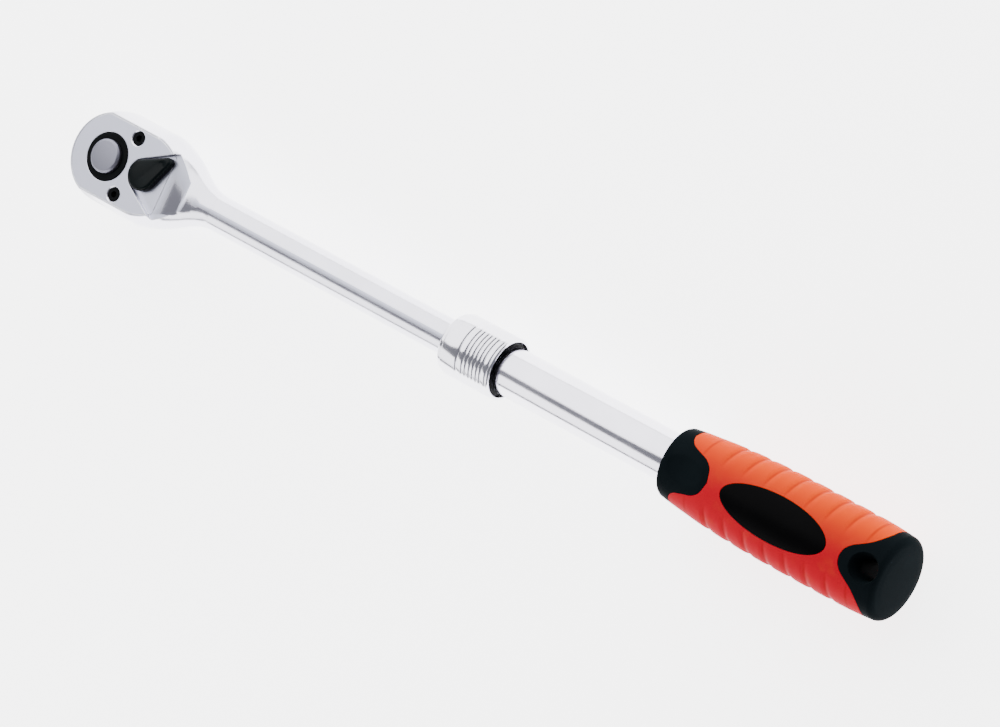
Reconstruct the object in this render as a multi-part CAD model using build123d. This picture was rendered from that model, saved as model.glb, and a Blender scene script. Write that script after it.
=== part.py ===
from build123d import *
import os
from math import asin, atan, cos, degrees, radians, sin, sqrt, tan

# Extendable half-inch drive reversible ratchet handle, every piece a separate solid, in millimetres.
# +X runs from the drive towards the grip along the shank and +Z is up through the selector face.
# Pieces are built about the shank axis, then lifted by SEAT_DROP so that z = 0 is the socket seat,
# and the origin is where the drive square's centre line leaves that seat. Fully retracted at rest.

FIT = 0.05                      # radial running clearance between a moving pair

# Ratchet head
HEAD_HALF = 11.0                # half the head's thickness
NOSE_R, NOSE_FACE_R = 21.5, 19.6    # nose radius at mid-height and at the two flat faces
SIDE_Y = 18.2                   # half-width of the flat faces along the straight sides
BEND_X, FACE_END_X, FACE_END_Y = 20.0, 33.0, 13.9   # where the face starts to narrow, and its end
RIM = 0.6                       # thin rim of the forging around the cover plate
PLATE_Z = 6.0                   # underside of the cover plate
RECESS_Z = 8.4                  # floor of the fan-shaped lever recess
FAN_HALF_ANGLE = 29.0           # each wall of the fan leans this far from the shank's direction
FLOOR_Z = -7.6                  # floor of the mechanism pocket
# x, half-width, corner y, corner z, crown height of each section from the head to the round shank
NECK_SECTIONS = [
    (20.0, 21.4, 18.2, 11.1, 11.3),
    (27.0, 20.6, 17.05, 11.1, 11.3),
    (33.0, 18.6, 13.9, 11.0, 11.4),
    (41.0, 14.9, 9.6, 8.7, 10.7),
    (48.0, 10.9, 7.3, 6.9, 9.1),
    (53.0, 8.9, 6.2, 6.1, 8.4),
    (59.0, 8.03, 5.678, 5.678, 8.03),
]
NECK_OVERLAP = 7.0              # the round shank starts this far inside the end of the neck

# Drive gear, square and quick release
TEETH = 72
TIP_R, ROOT_R = 13.2, 12.35
GEAR_BOTTOM, GEAR_TOP = -7.5, 5.9
HUB_R, HUB_TOP = 10.92, 11.2
LOWER_HUB_R, SEAT_R = 11.97, 10.2
SEAT_DROP = 11.5                # the socket seat is this far below the shank axis
SQUARE, SQUARE_LENGTH = 12.7, 15.5
RETAINER_R, RETAINER_PROUD = 2.4, 0.85
RETAINER_Z = -SEAT_DROP - 7.75
BUTTON_R, BUTTON_TOP, BUTTON_THICK = 7.6, 13.8, 3.4
BUTTON_POCKET_Z = 5.0
ROD_R, ROD_BORE_R = 2.75, 2.8
RELEASE_TRAVEL, RELEASE_RATIO = 2.5, 0.36   # the ball drops this much for each mm of button

# Reversing lever and pawl
LEVER_X = 20.8
LEVER_ANGLE = 46.0              # the lever rests this far round to +Y and flips to the mirror place
LEVER_HUB_R, LEVER_TIP_R, LEVER_REACH = 7.0, 2.1, 14.1
LEVER_BOTTOM, LEVER_TOP = 8.5, 12.2
SHAFT_R, SPIGOT_R = 3.2, 2.0
CLIP_Z, CLIP_THICK, CLIP_GROOVE_R = 5.0, 0.8, 2.7
PAWL_BOTTOM, PAWL_TOP, PAWL_EYE_R = -7.5, 4.7, 6.6
PAWL_SWING = 5.8                # from one tooth group in mesh to the other
HORN_INNER_R, HORN_OUTER_R = 14.0, 16.4
GROUP_START, GROUP_END = 25.0, 40.0     # three pawl teeth between these angles round the gear
PLUNGER_R, PLUNGER_Z, PLUNGER_NOSE = 1.25, -1.0, 4.8
WINDOW_R = 5.2

# Cover screws
SCREW_X, SCREW_Y = 11.1, 13.4
SCREW_R, SCREW_HEAD_R, SCREW_SEAT_Z, SCREW_TIP_Z = 1.75, 3.1, 7.6, -4.0

# Shank and its grooves
SHANK_R = 8.0
SHANK_END, STOP_X, STOP_SPIGOT_R = 404.0, 394.0, 6.0
STEP, STEPS = 25.4, 6           # lock positions one inch apart over six inches
KEYWAY_HALF, KEYWAY_FLOOR = 1.55, -6.5

# Lock on the front of the tube
TUBE_R, TUBE_BORE_R = 10.75, 9.3
TUBE_START, TUBE_END = 222.0, 416.0
LOCK_FRONT, LOCK_REAR = 204.7, 240.0
BALL_R, BALL_X, BALL_COUNT = 2.4, 209.2, 3
GROOVE_DEPTH = 1.15
COLLAR_TRAVEL, BALL_TRAVEL = 5.0, 1.2
COLLAR_FRONT, COLLAR_REAR, COLLAR_R = 197.0, 226.5, 14.1
COLLAR_NOSE = 2.4               # length of the stepped front ring
RAMP_START = 203.0              # front end of the collar's ball ramp
LAND_START, LAND_END = 211.3, 213.4
MOUTH_R = 12.8
RING_X, RING_WIDTH, RING_R, RING_GROOVE_R = 223.6, 1.4, 12.4, 10.3
PIN_X, PIN_R = 216.0, 1.5
O_RING_X, O_RING_MINOR = 219.6, 0.8
KNURL_HALF, KNURL_DEPTH = 0.55, 0.5
KNURL_OFFSETS = [11.5, 14.9, 16.9, 19.1, 21.0, 23.1, 25.0, 27.8]

# Grip: (distance from its front, outer radius) along the handle
GRIP_FRONT, GRIP_LENGTH = 320.0, 117.5
GRIP_PROFILE = [(1.2, 14.45), (7, 15.2), (15, 16.0), (24, 16.85), (35, 17.5), (49, 18.0),
                (65, 18.2), (90, 18.2), (104, 17.95), (113.5, 17.35)]
SKIN = 3.0                      # thickness of the moulded skin over the core
CORE_FRONT, CORE_REAR, PLUG_R = 3.0, 96.0, 13.0
# (distance from the front, half-width) down one side of the black nose's tongue and of the cap's
NOSE_SEAM = [(7.2, 14.0), (8.7, 12.1), (11.2, 10.6), (15.5, 9.4), (20.5, 8.0), (24.2, 5.2), (26.2, 0)]
CAP_SEAM = [(110.5, 16.6), (108.9, 13.6), (106.2, 10.5), (103.0, 8.2), (99.6, 5.9), (97.4, 3.2), (96.6, 0)]
PAD_CENTRE, PAD_LENGTH, PAD_WIDTH = 61.5, 54.5, 18.6
RIPPLE_FIRST, RIPPLE_PITCH, RIPPLES = 28.0, 10.85, 7
RIPPLE_R, RIPPLE_DEPTH = 8.0, 0.5
DIMPLE_X, DIMPLE_R, DIMPLE_DEPTH = 13.0, 40.0, 1.2
HANG_X, HANG_R, HANG_WALL, HANG_SCOOP = 109.0, 4.6, 12.5, 0.51    # scoop: radius gained per mm of depth

PIVOT = Pos(LEVER_X, 0, 0)
ALONG_X = Rot(0, 90, 0)


# ---------------------------------------------------------------- small helpers

def disc(radius, low, high, x=0.0, y=0.0):
    """Cylinder along Z between two heights."""
    return Pos(x, y, (low + high) / 2) * Cylinder(radius, high - low)


def rod(radius, start, end):
    """Cylinder along X between two stations."""
    return Pos((start + end) / 2, 0, 0) * ALONG_X * Cylinder(radius, end - start)


def block(x0, x1, y0, y1, z0, z1):
    """Box between two corners."""
    return Pos((x0 + x1) / 2, (y0 + y1) / 2, (z0 + z1) / 2) * Box(x1 - x0, y1 - y0, z1 - z0)


def prism(sketch, low, high):
    """Flat outline in XY raised between two heights."""
    return Pos(0, 0, low) * extrude(sketch, high - low)


def turned(points):
    """Solid turned about the shank axis from (x, radius) points."""
    outline = Plane.XZ * make_face(Polyline(*points, close=True))
    return revolve(outline, Axis.X)


def coil(radius, wire, length, turns):
    """Helical spring standing on z = 0, inside its full length."""
    path = Pos(0, 0, wire) * Helix((length - 2 * wire) / turns, length - 2 * wire, radius)
    section = Plane(origin=path @ 0, z_dir=path % 0) * Circle(wire)
    return sweep(section, path)


# ---------------------------------------------------------------- forged head and shank

def section_at(x, half_width, corner_y, corner_z, crown):
    """Closed section across the neck: two bowed sides, a bowed top and a bowed bottom."""
    edges = [
        ThreePointArc((corner_y, corner_z), (half_width, 0), (corner_y, -corner_z)),
        ThreePointArc((corner_y, -corner_z), (0, -crown), (-corner_y, -corner_z)),
        ThreePointArc((-corner_y, -corner_z), (-half_width, 0), (-corner_y, corner_z)),
        ThreePointArc((-corner_y, corner_z), (0, crown), (corner_y, corner_z)),
    ]
    return Plane.YZ.offset(x) * make_face(edges)


def face_outline(inset):
    """Outline of the flat face: round nose, straight sides, narrowing towards the neck."""
    radius, side = NOSE_FACE_R - inset, SIDE_Y - inset
    corner = -sqrt(radius**2 - side**2)
    end_x, end_y = FACE_END_X - inset, FACE_END_Y - inset
    edges = [
        ThreePointArc((corner, side), (-radius, 0), (corner, -side)),
        Line((corner, -side), (BEND_X, -side)),
        TangentArc((BEND_X, -side), (end_x, -end_y), tangent=(1, 0)),
        Line((end_x, -end_y), (end_x, end_y)),
        TangentArc((BEND_X, side), (end_x, end_y), tangent=(1, 0)),
        Line((BEND_X, side), (corner, side)),
    ]
    return make_face(edges)


def fan_outline(reach, hub_clear=0.5):
    """Plan of the lever recess: a round end about the lever's hub and two straight walls."""
    radius = LEVER_HUB_R + hub_clear
    lean = radians(FAN_HALF_ANGLE)
    tx, ty = LEVER_X - radius * sin(lean), radius * cos(lean)
    far_y = ty + (reach - tx) * tan(lean)
    wedge = Polygon((tx, ty), (tx, -ty), (reach, -far_y), (reach, far_y), align=None)
    return wedge + Pos(LEVER_X, 0) * Circle(radius)


def mechanism_pocket():
    """Room for the gear, the pawl's swing and the lever shaft."""
    reach = HORN_OUTER_R + 1.8
    half = radians(GROUP_END + 4)
    sector = Polygon((0, 0), (2 * reach * cos(half), -2 * reach * sin(half)),
                     (2 * reach * cos(half), 2 * reach * sin(half)), align=None)
    plan = Circle(TIP_R + 0.4) + (Circle(reach) & sector)
    plan += Pos(LEVER_X, 0) * Circle(PAWL_EYE_R + 0.6)
    return prism(plan, FLOOR_Z, PLATE_Z + 1)


def head_barrel():
    """Head up to where it narrows: a bowed drum for the nose, then straight bowed sides."""
    profile = make_face([
        Line((0, -HEAD_HALF), (NOSE_FACE_R, -HEAD_HALF)),
        ThreePointArc((NOSE_FACE_R, -HEAD_HALF), (NOSE_R, 0), (NOSE_FACE_R, HEAD_HALF)),
        Line((NOSE_FACE_R, HEAD_HALF), (0, HEAD_HALF)),
        Line((0, HEAD_HALF), (0, -HEAD_HALF)),
    ])
    drum = revolve(Plane.XZ * profile, Axis.Z)
    section = section_at(*NECK_SECTIONS[0])
    middle = extrude(section, -BEND_X)
    front = extrude(section, -2 * NOSE_R - BEND_X) & block(-30, 0, -30, 30, -30, 30)
    return (drum & front) + middle


def shank_rod():
    """Round shank from inside the neck: a lock groove at each step, then the stop bush's spigot."""
    centre, radius = SHANK_R - GROOVE_DEPTH + BALL_R, BALL_R + FIT
    half = sqrt(radius**2 - (centre - SHANK_R)**2)
    start = at = NECK_SECTIONS[-1][0] - NECK_OVERLAP
    edges = [Line((start, 0), (start, SHANK_R))]
    for number in range(STEPS + 1):
        x = BALL_X + number * STEP
        edges.append(Line((at, SHANK_R), (x - half, SHANK_R)))
        edges.append(ThreePointArc((x - half, SHANK_R), (x, centre - radius), (x + half, SHANK_R)))
        at = x + half
    edges += Polyline((at, SHANK_R), (STOP_X, SHANK_R), (STOP_X, STOP_SPIGOT_R),
                      (SHANK_END, STOP_SPIGOT_R), (SHANK_END, 0), (start, 0)).edges()
    return revolve(Plane.XZ * make_face(edges), Axis.X)


def head_and_shank():
    """One forging: pear-shaped head, neck and round shank with its lock grooves and keyway."""
    neck = loft([section_at(*row) for row in NECK_SECTIONS])
    slab = block(-30, 70, -30, 30, -HEAD_HALF, HEAD_HALF)
    body = (head_barrel() + neck) & slab
    body += shank_rod()
    body -= prism(face_outline(RIM), PLATE_Z, HEAD_HALF + 1)
    body -= prism(fan_outline(62), RECESS_Z, HEAD_HALF + 1)
    body -= mechanism_pocket()
    body -= disc(LOWER_HUB_R + 0.08, -HEAD_HALF - 1, FLOOR_Z + 1)
    body -= disc(SPIGOT_R + FIT, FLOOR_Z - 2.1, FLOOR_Z + 1, LEVER_X)
    for side in (-1, 1):
        body -= disc(SCREW_R, SCREW_TIP_Z - 0.5, PLATE_Z + 1, SCREW_X, side * SCREW_Y)
    travel = STEP * STEPS
    body -= block(PIN_X - PIN_R - 0.2, PIN_X + PIN_R + travel + 0.2, -KEYWAY_HALF, KEYWAY_HALF,
                  -SHANK_R - 1, KEYWAY_FLOOR)
    return body - rod(2.5, SHANK_END - 12, SHANK_END + 1)


def cover_plate():
    """Thick plate let into the face: gear opening, lever recess and two screw counterbores."""
    plate = prism(face_outline(RIM + FIT), PLATE_Z, HEAD_HALF)
    plate -= prism(fan_outline(FACE_END_X + 2), RECESS_Z, HEAD_HALF + 1)
    plate -= disc(HUB_R + 0.08, PLATE_Z - 1, HEAD_HALF + 1)
    plate -= disc(SHAFT_R + FIT, PLATE_Z - 1, HEAD_HALF + 1, LEVER_X)
    for side in (-1, 1):
        plate -= disc(SCREW_R + 0.15, PLATE_Z - 1, HEAD_HALF, SCREW_X, side * SCREW_Y)
        plate -= disc(SCREW_HEAD_R + 0.1, SCREW_SEAT_Z, HEAD_HALF + 1, SCREW_X, side * SCREW_Y)
        rim = Cone(SCREW_HEAD_R + 0.1, SCREW_HEAD_R + 0.6, 0.5)
        plate -= Pos(SCREW_X, side * SCREW_Y, HEAD_HALF - 0.2) * rim
    return plate


def cover_screws():
    """Two recessed socket-head screws."""
    pair = []
    for side in (-1, 1):
        screw = disc(SCREW_HEAD_R, SCREW_SEAT_Z, HEAD_HALF - 0.6)
        screw += disc(SCREW_R, SCREW_TIP_Z, SCREW_SEAT_Z)
        screw -= prism(RegularPolygon(1.6, 6), SCREW_SEAT_Z + 0.9, HEAD_HALF)
        pair.append(Pos(SCREW_X, side * SCREW_Y, 0) * screw)
    return Compound(pair)


# ---------------------------------------------------------------- gear, square and quick release

def tooth_star(growth=0.0):
    """Plan of the ratchet gear: pointed teeth with tips at whole steps and roots between."""
    half_step = 180 / TEETH
    points = []
    for index in range(2 * TEETH):
        radius = (ROOT_R if index % 2 else TIP_R) + growth
        angle = radians(index * half_step)
        points.append((radius * cos(angle), radius * sin(angle)))
    return Polygon(*points, align=None)


def drive_gear():
    """Toothed drum with its two hubs, the socket seat and the drive square."""
    gear = prism(tooth_star(), GEAR_BOTTOM, GEAR_TOP)
    gear += chamfer(disc(HUB_R, GEAR_TOP - 1, HUB_TOP).edges().sort_by(Axis.Z)[-1], 0.5)
    gear += disc(LOWER_HUB_R, -HEAD_HALF - 0.1, GEAR_BOTTOM + 1)
    gear += disc(SEAT_R, -SEAT_DROP, -HEAD_HALF)
    stud = prism(RectangleRounded(SQUARE, SQUARE, 1.2), -SEAT_DROP - SQUARE_LENGTH, -SEAT_DROP + 1)
    gear += chamfer(stud.faces().sort_by(Axis.Z)[0].edges(), 0.9)
    gear -= disc(BUTTON_R + 0.1, BUTTON_POCKET_Z, HUB_TOP + 1)
    gear -= disc(ROD_BORE_R, -SEAT_DROP - SQUARE_LENGTH + 1.7, BUTTON_POCKET_Z + 1)
    return gear - retainer_hole()


def retainer_hole():
    """Cross hole for the socket-retaining ball, narrowing at the square's face to hold it in."""
    face = -SQUARE / 2
    inner_end, lip = -1.0, 0.8
    hole = Pos((face + lip + inner_end) / 2, 0, RETAINER_Z) * ALONG_X * Cylinder(
        RETAINER_R + FIT, inner_end - face - lip)
    mouth = Pos(face + lip / 2, 0, RETAINER_Z) * ALONG_X * Cone(
        lip_radius(face), RETAINER_R + FIT, lip)
    outside = Pos(face - 0.5, 0, RETAINER_Z) * ALONG_X * Cylinder(lip_radius(face), 1)
    return hole + mouth + outside


def lip_radius(face):
    """Radius that just clears the ball where it passes the square's face."""
    depth = RETAINER_R - RETAINER_PROUD
    return sqrt(RETAINER_R**2 - depth**2) + 0.1


def retaining_ball():
    """Ball that grips the socket."""
    centre = -SQUARE / 2 + RETAINER_R - RETAINER_PROUD
    return Pos(centre, 0, RETAINER_Z) * Sphere(RETAINER_R)


def release_button():
    """Push button and its rod, with the taper that lets the ball drop in."""
    rake = atan(RELEASE_RATIO)
    centre = SQUARE / 2 - RETAINER_R + RETAINER_PROUD
    at_ball = centre - (RETAINER_R + FIT) / cos(rake)
    low = RETAINER_Z - (ROD_R - at_ball) / RELEASE_RATIO
    neck_low, neck_high = RETAINER_Z + RELEASE_TRAVEL, RETAINER_Z + 4.9
    neck_r = at_ball - RELEASE_TRAVEL * RELEASE_RATIO
    top = BUTTON_TOP - BUTTON_THICK
    profile = make_face(Polyline(
        (0, low - 0.8), (ROD_R - 0.3, low - 0.8), (ROD_R, low - 0.5), (ROD_R, low),
        (neck_r, neck_low), (neck_r, neck_high - 0.9), (ROD_R, neck_high), (ROD_R, top),
        (BUTTON_R, top), (BUTTON_R, BUTTON_TOP - 0.9), (BUTTON_R - 0.9, BUTTON_TOP),
        (0, BUTTON_TOP), close=True))
    return revolve(Plane.XZ * profile, Axis.Z)


def release_spring():
    """Coil under the button."""
    room = BUTTON_TOP - BUTTON_THICK - BUTTON_POCKET_Z
    return Pos(0, 0, BUTTON_POCKET_Z) * coil(5.2, 0.35, room, 3.5)


# ---------------------------------------------------------------- reversing lever and pawl

def lever_plan():
    """Teardrop: hub and tip circles joined by their two common tangents, pointing along +X."""
    spread = radians(90 - degrees(asin((LEVER_HUB_R - LEVER_TIP_R) / LEVER_REACH)))
    hub = (LEVER_HUB_R * cos(spread), LEVER_HUB_R * sin(spread))
    tip = (LEVER_REACH + LEVER_TIP_R * cos(spread), LEVER_TIP_R * sin(spread))
    return make_face([
        ThreePointArc(hub, (-LEVER_HUB_R, 0), (hub[0], -hub[1])),
        Line((hub[0], -hub[1]), (tip[0], -tip[1])),
        ThreePointArc((tip[0], -tip[1]), (LEVER_REACH + LEVER_TIP_R, 0), tip),
        Line(tip, hub),
    ])


def lever_place():
    """Lever's rest place: its hub centre, turned to the rest angle."""
    return PIVOT * Rot(0, 0, LEVER_ANGLE)


def reversing_lever():
    """Teardrop lever with the shaft that carries the detent plunger."""
    blade = prism(lever_plan(), LEVER_BOTTOM, LEVER_TOP)
    blade = fillet(blade.faces().sort_by(Axis.Z)[-1].edges(), 1.5)
    lever = blade + disc(SHAFT_R, FLOOR_Z + 0.2, LEVER_BOTTOM + 1)
    lever += disc(SPIGOT_R, FLOOR_Z - 1.8, FLOOR_Z + 1)
    lever -= disc(SHAFT_R + 1, CLIP_Z, CLIP_Z + CLIP_THICK + 0.1) - disc(CLIP_GROOVE_R, CLIP_Z, CLIP_Z + 1)
    lever -= Pos(0, 0, PLUNGER_Z) * rod(PLUNGER_R + FIT, -2.4, SHAFT_R + 1)
    return lever_place() * lever


def lever_plunger():
    """Round-nosed plunger that presses on the pawl, hollow behind for its spring."""
    stem = rod(PLUNGER_R, 0.6, PLUNGER_NOSE - PLUNGER_R)
    nose = Pos(PLUNGER_NOSE - PLUNGER_R, 0, 0) * Sphere(PLUNGER_R)
    body = stem + nose - rod(0.85, 0.5, 2.9)
    return lever_place() * Pos(0, 0, PLUNGER_Z) * body


def lever_spring():
    """Short coil inside the plunger."""
    spring = Pos(-2.35, 0, PLUNGER_Z) * ALONG_X * coil(0.6, 0.15, 4.6, 6)
    return lever_place() * spring


def lever_clip():
    """Open spring clip in the shaft's groove, under the cover plate."""
    ring = disc(4.6, CLIP_Z + 0.05, CLIP_Z + CLIP_THICK + 0.05)
    ring -= disc(CLIP_GROOVE_R + 0.02, CLIP_Z, CLIP_Z + 1)
    ring -= block(-6, 0, -1.8, 1.8, CLIP_Z, CLIP_Z + 1)
    return lever_place() * ring


def pawl_horn():
    """Horn in its engaged place: a curved arm ending in three teeth that fill the gear's gaps."""
    start, end = radians(GROUP_START), radians(GROUP_END)
    far = 2 * HORN_OUTER_R
    arm = Polygon((0, 0), (far, 0), (far * cos(end), far * sin(end)), align=None)
    group = Polygon((0, 0), (far * cos(start), far * sin(start)),
                    (far * cos(end), far * sin(end)), align=None)
    band = (Circle(HORN_OUTER_R) - Circle(HORN_INNER_R)) & arm
    teeth = (Circle(HORN_INNER_R + 0.1) & group) - tooth_star(0.13)
    return band + teeth


def pawl():
    """Rocking double pawl on the lever shaft, with a rear window for the plunger's sweep."""
    engaged = prism(pawl_horn(), PAWL_BOTTOM, PAWL_TOP)
    swing = PIVOT * Rot(0, 0, PAWL_SWING) * Pos(-LEVER_X, 0, 0)
    waiting = swing * mirror(engaged, Plane.XZ)
    body = engaged + waiting + disc(PAWL_EYE_R, PAWL_BOTTOM, PAWL_TOP, LEVER_X)
    wedge = Polygon((0, 0), (12 * cos(radians(76)), 12 * sin(radians(76))), (12, 12), (12, -12),
                    (12 * cos(radians(76)), -12 * sin(radians(76))), align=None)
    window = prism(Circle(WINDOW_R) & wedge, PLUNGER_Z - PLUNGER_R - 0.6, PAWL_TOP + 1)
    body -= Pos(LEVER_X, 0, 0) * window
    return body - disc(SHAFT_R + FIT, PAWL_BOTTOM - 1, PAWL_TOP + 1, LEVER_X)


# ---------------------------------------------------------------- telescoping lock

def ball_angles():
    """Even spacing, starting at the top so that the keyway stays clear below."""
    return [90 + 360 * number / BALL_COUNT for number in range(BALL_COUNT)]


def lock_body():
    """Sleeve on the tube's front end that guides the shank and cages the lock balls."""
    body = rod(TUBE_R, LOCK_FRONT, TUBE_START) + rod(TUBE_BORE_R, TUBE_START, LOCK_REAR)
    body -= rod(SHANK_R + FIT, LOCK_FRONT - 1, LOCK_REAR + 1)
    for angle in ball_angles():
        hole = Pos(0, 9, 0) * Rot(90, 0, 0) * Cylinder(BALL_R + FIT, 6)
        body -= Pos(BALL_X, 0, 0) * Rot(angle, 0, 0) * hole
    body -= disc(PIN_R, -TUBE_R - 1, -SHANK_R + 2, PIN_X)
    ring = O_RING_MINOR
    body -= rod(SHANK_R + FIT + 2 * ring, O_RING_X - ring, O_RING_X + ring)
    return body


def lock_ball(angle):
    """Ball seated in a shank groove."""
    centre = SHANK_R - GROOVE_DEPTH + BALL_R
    return Pos(BALL_X, 0, 0) * Rot(angle, 0, 0) * Pos(0, centre, 0) * Sphere(BALL_R)


def guide_pin():
    """Pin through the lock body that runs in the shank's keyway and stops the grip turning."""
    return disc(PIN_R, -TUBE_R + 0.05, KEYWAY_FLOOR - 0.1, PIN_X)


def guide_o_ring():
    """Ring that takes up rattle between shank and lock body."""
    ring = Torus(SHANK_R + FIT + O_RING_MINOR, O_RING_MINOR)
    return Pos(O_RING_X, 0, 0) * ALONG_X * ring


def ramp_radius(x):
    """Inner radius of the collar's ramp: it lets the balls out as the collar is drawn back."""
    slope = BALL_TRAVEL / COLLAR_TRAVEL
    centre = SHANK_R - GROOVE_DEPTH + BALL_R
    at_ball = centre + (BALL_R + FIT) / cos(atan(slope))
    return at_ball - slope * (x - BALL_X)


def lock_collar():
    """Grooved sliding collar: ball ramp, guiding land and spring chamber inside."""
    shell = rod(COLLAR_R, COLLAR_FRONT + COLLAR_NOSE, COLLAR_REAR)
    shell = chamfer(shell.edges().filter_by(GeomType.CIRCLE), 0.6)
    shell -= turned([
        (COLLAR_FRONT, 0), (COLLAR_FRONT, ramp_radius(RAMP_START)),
        (RAMP_START, ramp_radius(RAMP_START)), (LAND_START, ramp_radius(LAND_START)),
        (LAND_START, TUBE_R + 0.07), (LAND_END, TUBE_R + 0.07), (LAND_END, MOUTH_R),
        (COLLAR_REAR + 1, MOUTH_R), (COLLAR_REAR + 1, 0)])
    for offset in KNURL_OFFSETS:
        x = COLLAR_FRONT + offset
        shell -= turned([(x - KNURL_HALF, COLLAR_R + 0.1), (x, COLLAR_R - KNURL_DEPTH),
                         (x + KNURL_HALF, COLLAR_R + 0.1)])
    return shell


def collar_nose():
    """Stepped ring pressed into the collar's front, closing the ramp chamber."""
    front, wall_end = COLLAR_FRONT, COLLAR_FRONT + COLLAR_NOSE
    back = BALL_X - BALL_R - COLLAR_TRAVEL - 0.4     # short of the raised balls when drawn back
    outer, inner = ramp_radius(RAMP_START), TUBE_R + 0.45
    return turned([
        (front, SHANK_R + 0.3), (front, outer - 0.9), (front + 0.9, outer), (back, outer),
        (back, inner), (wall_end, inner), (wall_end, SHANK_R + 0.3)])


def collar_spring():
    """Coil that holds the collar forward."""
    wire, gap = 0.6, 0.02
    room = RING_X - LAND_END - 2 * gap
    return Pos(LAND_END + gap, 0, 0) * ALONG_X * coil((TUBE_R + MOUTH_R) / 2, wire, room, 3.5)


def retaining_ring():
    """Black ring in a groove of the tube: seat of the collar spring."""
    return rod(RING_R, RING_X, RING_X + RING_WIDTH) - rod(RING_GROOVE_R, RING_X - 1, RING_X + 3)


def outer_tube():
    """Plated tube, from under the collar to inside the end cap."""
    tube = rod(TUBE_R, TUBE_START, TUBE_END) - rod(TUBE_BORE_R, TUBE_START - 1, TUBE_END + 1)
    groove = rod(TUBE_R + 1, RING_X, RING_X + RING_WIDTH) - rod(RING_GROOVE_R, RING_X - 1, RING_X + 3)
    return tube - groove


def shank_stop():
    """Bush on the shank's end that slides in the tube and meets the lock body at full reach."""
    bush = rod(TUBE_BORE_R - 0.1, STOP_X, SHANK_END) - rod(STOP_SPIGOT_R, STOP_X - 1, SHANK_END + 1)
    return chamfer(bush.edges().filter_by(GeomType.CIRCLE).sort_by(SortBy.RADIUS)[-2:], 0.5)


def stop_screw():
    """Cheese-head screw that keeps the bush on."""
    screw = rod(7.0, SHANK_END, SHANK_END + 2.8) + rod(2.5, SHANK_END - 11, SHANK_END)
    recess = Plane.YZ.offset(SHANK_END + 1.2) * RegularPolygon(2.9, 6)
    return screw - extrude(recess, 3)


# ---------------------------------------------------------------- grip

def grip_barrel():
    """Whole grip as one turned barrel with a rounded end."""
    first, last = GRIP_PROFILE[0], GRIP_PROFILE[-1]
    x, r = last
    edges = [
        Line((0, 0), (0, first[1] - 0.55)),
        Line((0, first[1] - 0.55), first),
        Spline(*GRIP_PROFILE),
        ThreePointArc(last, (GRIP_LENGTH - 1.1, r - 1.9), (GRIP_LENGTH, r - 4.5)),
        Line((GRIP_LENGTH, r - 4.5), (GRIP_LENGTH, 0)),
        Line((GRIP_LENGTH, 0), (0, 0)),
    ]
    return Pos(GRIP_FRONT, 0, 0) * revolve(Plane.XZ * make_face(edges), Axis.X)


def grip_inside():
    """Barrel under the moulded skin, along the tube."""
    points = [(x, r - SKIN) for x, r in GRIP_PROFILE]
    start, end = points[0], points[-1]
    edges = [Line((start[0], 0), start), Spline(*points), Line(end, (end[0], 0)),
             Line((end[0], 0), (start[0], 0))]
    solid = Pos(GRIP_FRONT, 0, 0) * revolve(Plane.XZ * make_face(edges), Axis.X)
    return solid & rod(30, GRIP_FRONT + CORE_FRONT, GRIP_FRONT + CORE_REAR)


def seam_region(seam, far):
    """Column whose plan is bounded by a tongue-shaped seam and reaches far beyond the grip's end."""
    wide, (side, half) = 30.0, seam[0]
    points = seam + [(x, -y) for x, y in reversed(seam[:-1])]
    bow = Spline(*points, tangents=[(0, -1), (0, -1)])
    rest = Polyline((side, -half), (side, -wide), (far, -wide), (far, wide), (side, wide), (side, half))
    return Pos(GRIP_FRONT, 0, 0) * prism(make_face([bow, rest]), -wide, wide)


def pad_region(side):
    """Oval column through one face of the grip; side is 1 above and -1 below."""
    oval = Pos(GRIP_FRONT + PAD_CENTRE, 0) * Ellipse(PAD_LENGTH / 2, PAD_WIDTH / 2)
    column = prism(oval, 0, 30)
    return column if side > 0 else mirror(column, Plane.XY)


def ripples():
    """Shallow finger scallops around the coloured shell."""
    rings = []
    for number in range(RIPPLES):
        x = RIPPLE_FIRST + number * RIPPLE_PITCH
        radius = outline_radius(x)
        ring = Torus(radius + RIPPLE_R - RIPPLE_DEPTH, RIPPLE_R)
        rings.append(Pos(GRIP_FRONT + x, 0, 0) * ALONG_X * ring)
    return rings


def outline_radius(x):
    """Outer radius of the grip at a distance from its front, straight between outline points."""
    for (x0, r0), (x1, r1) in zip(GRIP_PROFILE, GRIP_PROFILE[1:]):
        if x0 <= x <= x1:
            return r0 + (r1 - r0) * (x - x0) / (x1 - x0)
    raise ValueError(f"{x} is outside the grip's outline")


def thumb_dimple(side):
    """Ball that hollows the nose section's tongue; side is 1 above and -1 below."""
    height = outline_radius(DIMPLE_X) + DIMPLE_R - DIMPLE_DEPTH
    return Pos(GRIP_FRONT + DIMPLE_X, 0, side * height) * Sphere(DIMPLE_R)


def hang_hole():
    """Hole across the cap along Z, with a scooped mouth on each face."""
    hole, depth = Cylinder(HANG_R, 50), 7.0
    for side in (-1, 1):
        mouth = Pos(0, 0, HANG_WALL + depth / 2) * Cone(HANG_R, HANG_R + HANG_SCOOP * depth, depth)
        hole += mouth if side > 0 else mirror(mouth, Plane.XY)
    return Pos(GRIP_FRONT + HANG_X, 0, 0) * hole


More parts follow.
